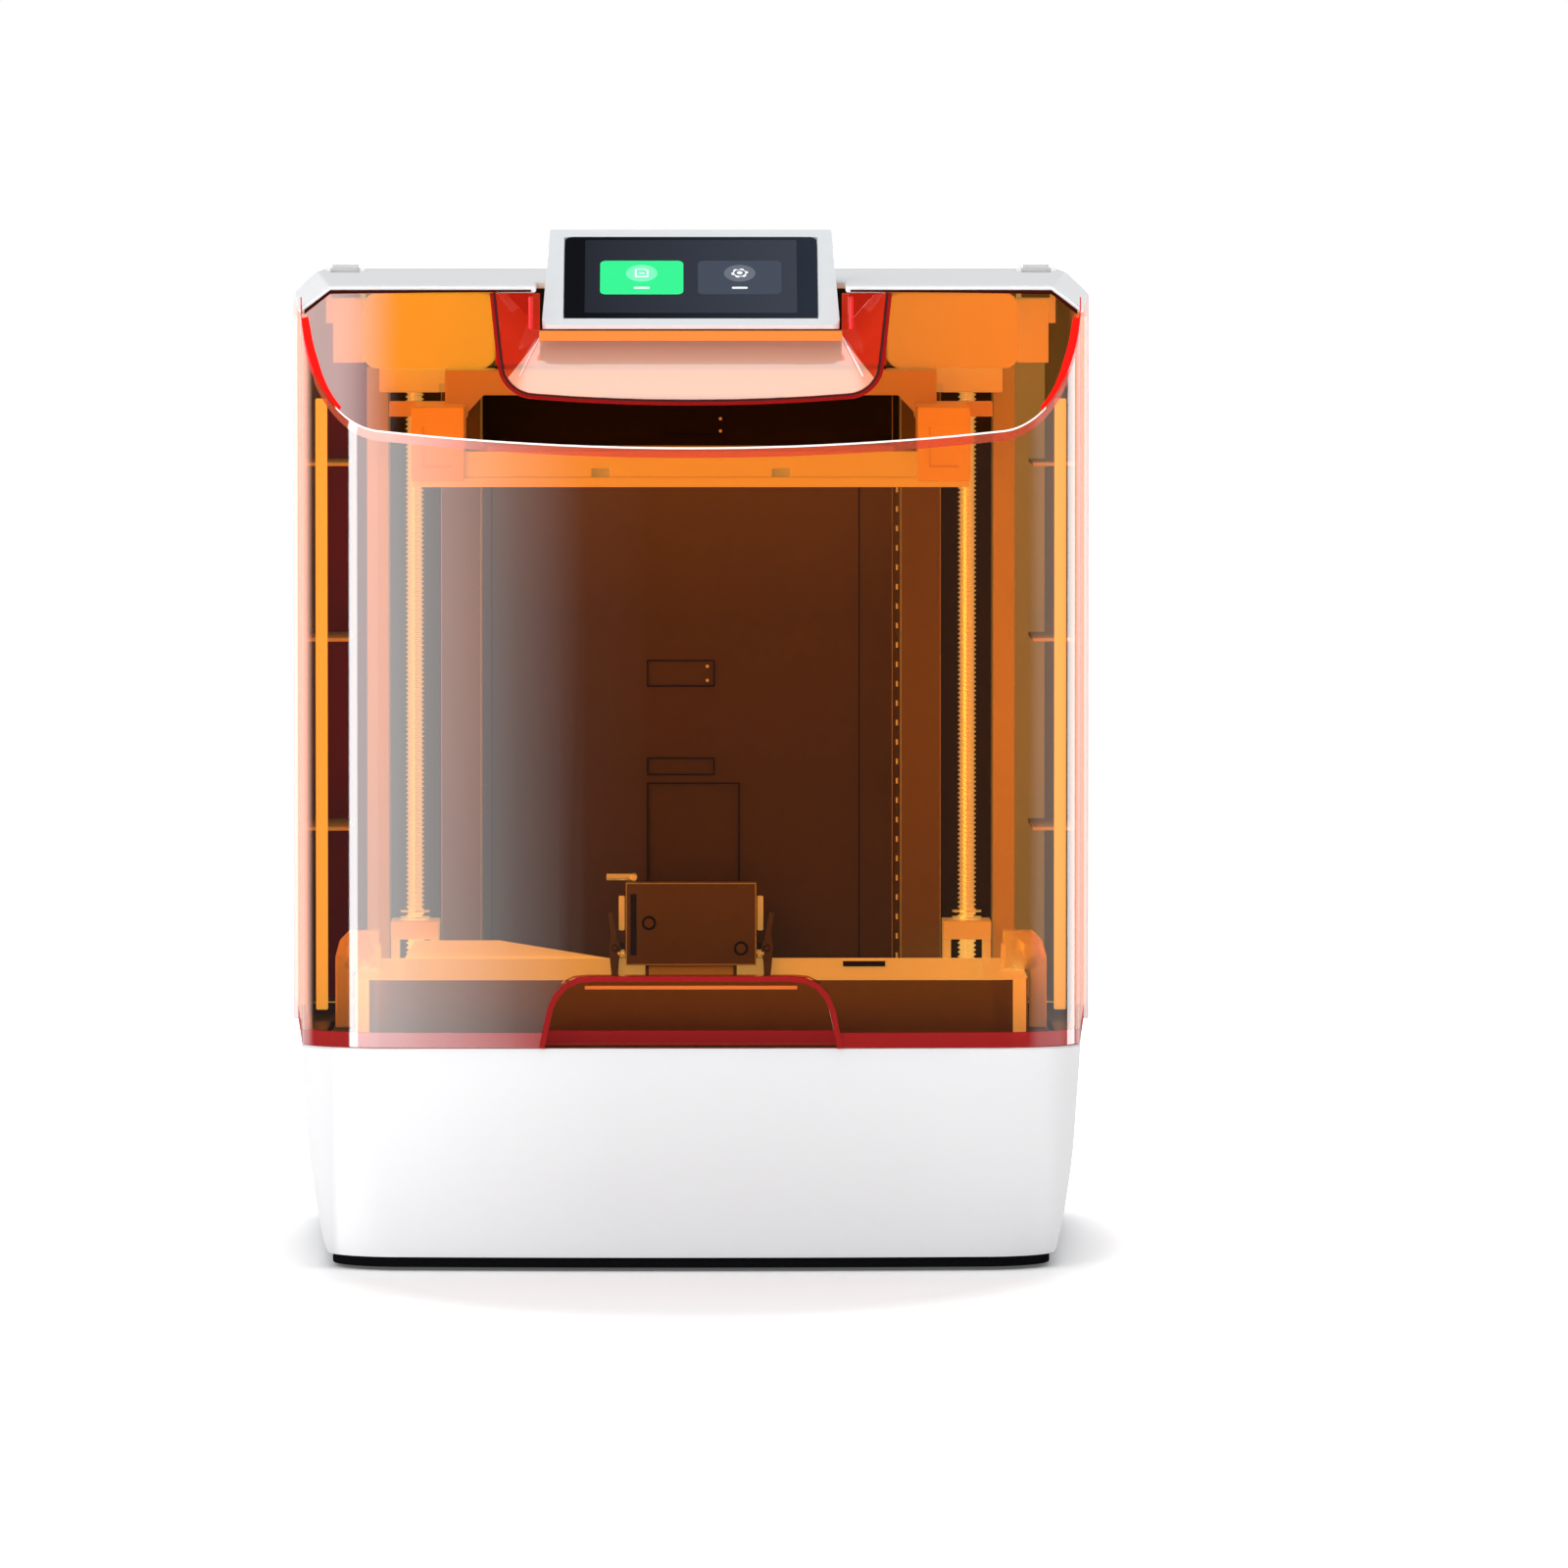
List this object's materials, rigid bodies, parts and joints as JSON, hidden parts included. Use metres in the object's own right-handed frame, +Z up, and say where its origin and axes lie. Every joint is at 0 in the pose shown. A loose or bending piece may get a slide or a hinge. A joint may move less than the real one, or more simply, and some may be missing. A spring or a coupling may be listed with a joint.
{
  "type": "resin printer",
  "caption": "Resin 3D printer with a flip-up tinted hood, tilted touch screen, twin-screw lift and a tilting vat on a white base.",
  "frame": {"origin": "on the ground under the middle of the machine's bounding box", "axes": "+Z up, -Y towards the user (the hood and screen face -Y), +X to the right as the user sees it"},
  "size_m": [0.35, 0.33, 0.4415],
  "materials": {
    "white_shell": "satin white moulded plastic",
    "orange_clear": "polished see-through orange moulding",
    "screen_glass": "polished black glass",
    "black_plastic": "matte black",
    "black_metal": "black stepper motor body",
    "foot_rubber": "matte rubber",
    "dark_plastic": "matte dark grey",
    "grey_plastic": "satin grey moulding",
    "alloy": "satin aluminium",
    "steel": "ground steel",
    "brass": "turned brass",
    "board_green": "circuit board",
    "clear_plastic": "clear"
  },
  "bodies": {
    "machine": {"base_shell": "white_shell", "base_tray": "black_plastic", "foot_front_left": "foot_rubber", "foot_front_right": "foot_rubber", "foot_rear_left": "foot_rubber", "foot_rear_right": "foot_rubber", "deck": "dark_plastic", "rear_shell": "white_shell", "back_panel": "dark_plastic", "column_left": "alloy", "column_right": "alloy", "column_head_left": "alloy", "column_head_right": "alloy", "screw_cover_left": "alloy", "screw_cover_right": "alloy", "screw_bearing_left": "alloy", "screw_bearing_right": "alloy", "lift_motor_left": "black_metal", "lift_motor_right": "black_metal", "hinge_block_left": "alloy", "hinge_block_right": "alloy", "light_engine": "alloy", "lens_panel": "clear_plastic", "main_board": "board_green", "power_supply": "alloy", "fan_frame": "black_plastic", "power_inlet": "black_plastic", "usb_port": "steel", "tilt_motor": "alloy"},
    "lid": {"hood": "orange_clear", "top_cover": "white_shell", "screen_housing": "white_shell", "screen_glass": "screen_glass", "hinge_arm_left": "alloy", "hinge_arm_right": "alloy"},
    "lift": {"carriage_left": "alloy", "carriage_right": "alloy", "lead_nut_left": "brass", "lead_nut_right": "brass", "plate_bridge": "alloy", "build_plate": "alloy"},
    "screw_left": {"lead_screw_left": "steel"},
    "screw_right": {"lead_screw_right": "steel"},
    "bed": {"tilt_bed": "alloy", "lcd_panel": "screen_glass", "vat": "grey_plastic", "vat_film": "clear_plastic", "feed_head": "dark_plastic", "feed_cover": "dark_plastic", "feed_nozzle": "steel"},
    "cam": {"tilt_cam": "steel"},
    "clamp_left": {"vat_clamp_left": "alloy"},
    "clamp_right": {"vat_clamp_right": "alloy"},
    "latch_left": {"feed_latch_left": "grey_plastic"},
    "latch_right": {"feed_latch_right": "grey_plastic"},
    "tab_left": {"plate_latch_left": "grey_plastic"},
    "tab_right": {"plate_latch_right": "grey_plastic"},
    "rotor": {"fan_rotor": "dark_plastic"},
    "rocker": {"power_rocker": "black_plastic"}
  },
  "joints": [
    {"name": "lid_hinge", "type": "hinge", "parent": "machine", "child": "lid", "pos_m": [0, 0.04, 0.4233], "axis": [-1, 0, 0], "range_deg": [0, 80]},
    {"name": "lift_slide", "type": "slide", "parent": "machine", "child": "lift", "axis": [0, 0, 1], "range_m": [-0.2275, 0]},
    {"name": "screw_left_spin", "type": "hinge", "parent": "machine", "child": "screw_left", "pos_m": [-0.1212, 0.057, 0.236], "axis": [0, 0, 1], "continuous": true},
    {"name": "screw_right_spin", "type": "hinge", "parent": "machine", "child": "screw_right", "pos_m": [0.1212, 0.057, 0.236], "axis": [0, 0, 1], "continuous": true},
    {"name": "bed_tilt", "type": "hinge", "parent": "machine", "child": "bed", "pos_m": [0, 0.044, 0.086], "axis": [1, 0, 0], "range_deg": [0, 3]},
    {"name": "cam_spin", "type": "hinge", "parent": "machine", "child": "cam", "pos_m": [0, -0.119, 0.0692], "axis": [1, 0, 0], "range_deg": [-60, 0]},
    {"name": "clamp_left_swing", "type": "hinge", "parent": "bed", "child": "clamp_left", "pos_m": [-0.15, -0.047, 0.097], "axis": [0, 0, 1], "range_deg": [0, 90]},
    {"name": "clamp_right_swing", "type": "hinge", "parent": "bed", "child": "clamp_right", "pos_m": [0.15, -0.047, 0.097], "axis": [0, 0, -1], "range_deg": [0, 90]},
    {"name": "latch_left_squeeze", "type": "hinge", "parent": "bed", "child": "latch_left", "pos_m": [-0.0332, 0.029, 0.127], "axis": [0, 1, 0], "range_deg": [0, 6], "stiffness_Nm_per_rad": 0.08},
    {"name": "latch_right_squeeze", "type": "hinge", "parent": "bed", "child": "latch_right", "pos_m": [0.0332, 0.029, 0.127], "axis": [0, -1, 0], "range_deg": [0, 6], "stiffness_Nm_per_rad": 0.08},
    {"name": "tab_left_slide", "type": "slide", "parent": "lift", "child": "tab_left", "axis": [1, 0, 0], "range_m": [0, 0.004], "stiffness_N_per_m": 250},
    {"name": "tab_right_slide", "type": "slide", "parent": "lift", "child": "tab_right", "axis": [-1, 0, 0], "range_m": [0, 0.004], "stiffness_N_per_m": 250},
    {"name": "fan_spin", "type": "hinge", "parent": "machine", "child": "rotor", "pos_m": [-0.06, 0.153, 0.048], "axis": [0, 1, 0], "continuous": true},
    {"name": "rocker_tip", "type": "hinge", "parent": "machine", "child": "rocker", "pos_m": [0.116, 0.162, 0.037], "axis": [-1, 0, 0], "range_deg": [0, 10]}
  ],
  "couplings": [
    {"joint": "screw_left_spin", "follows": "lift_slide", "rad_per_m": 785.4},
    {"joint": "screw_right_spin", "follows": "lift_slide", "rad_per_m": 785.4},
    {"joint": "cam_spin", "follows": "bed_tilt", "ratio": -20}
  ]
}
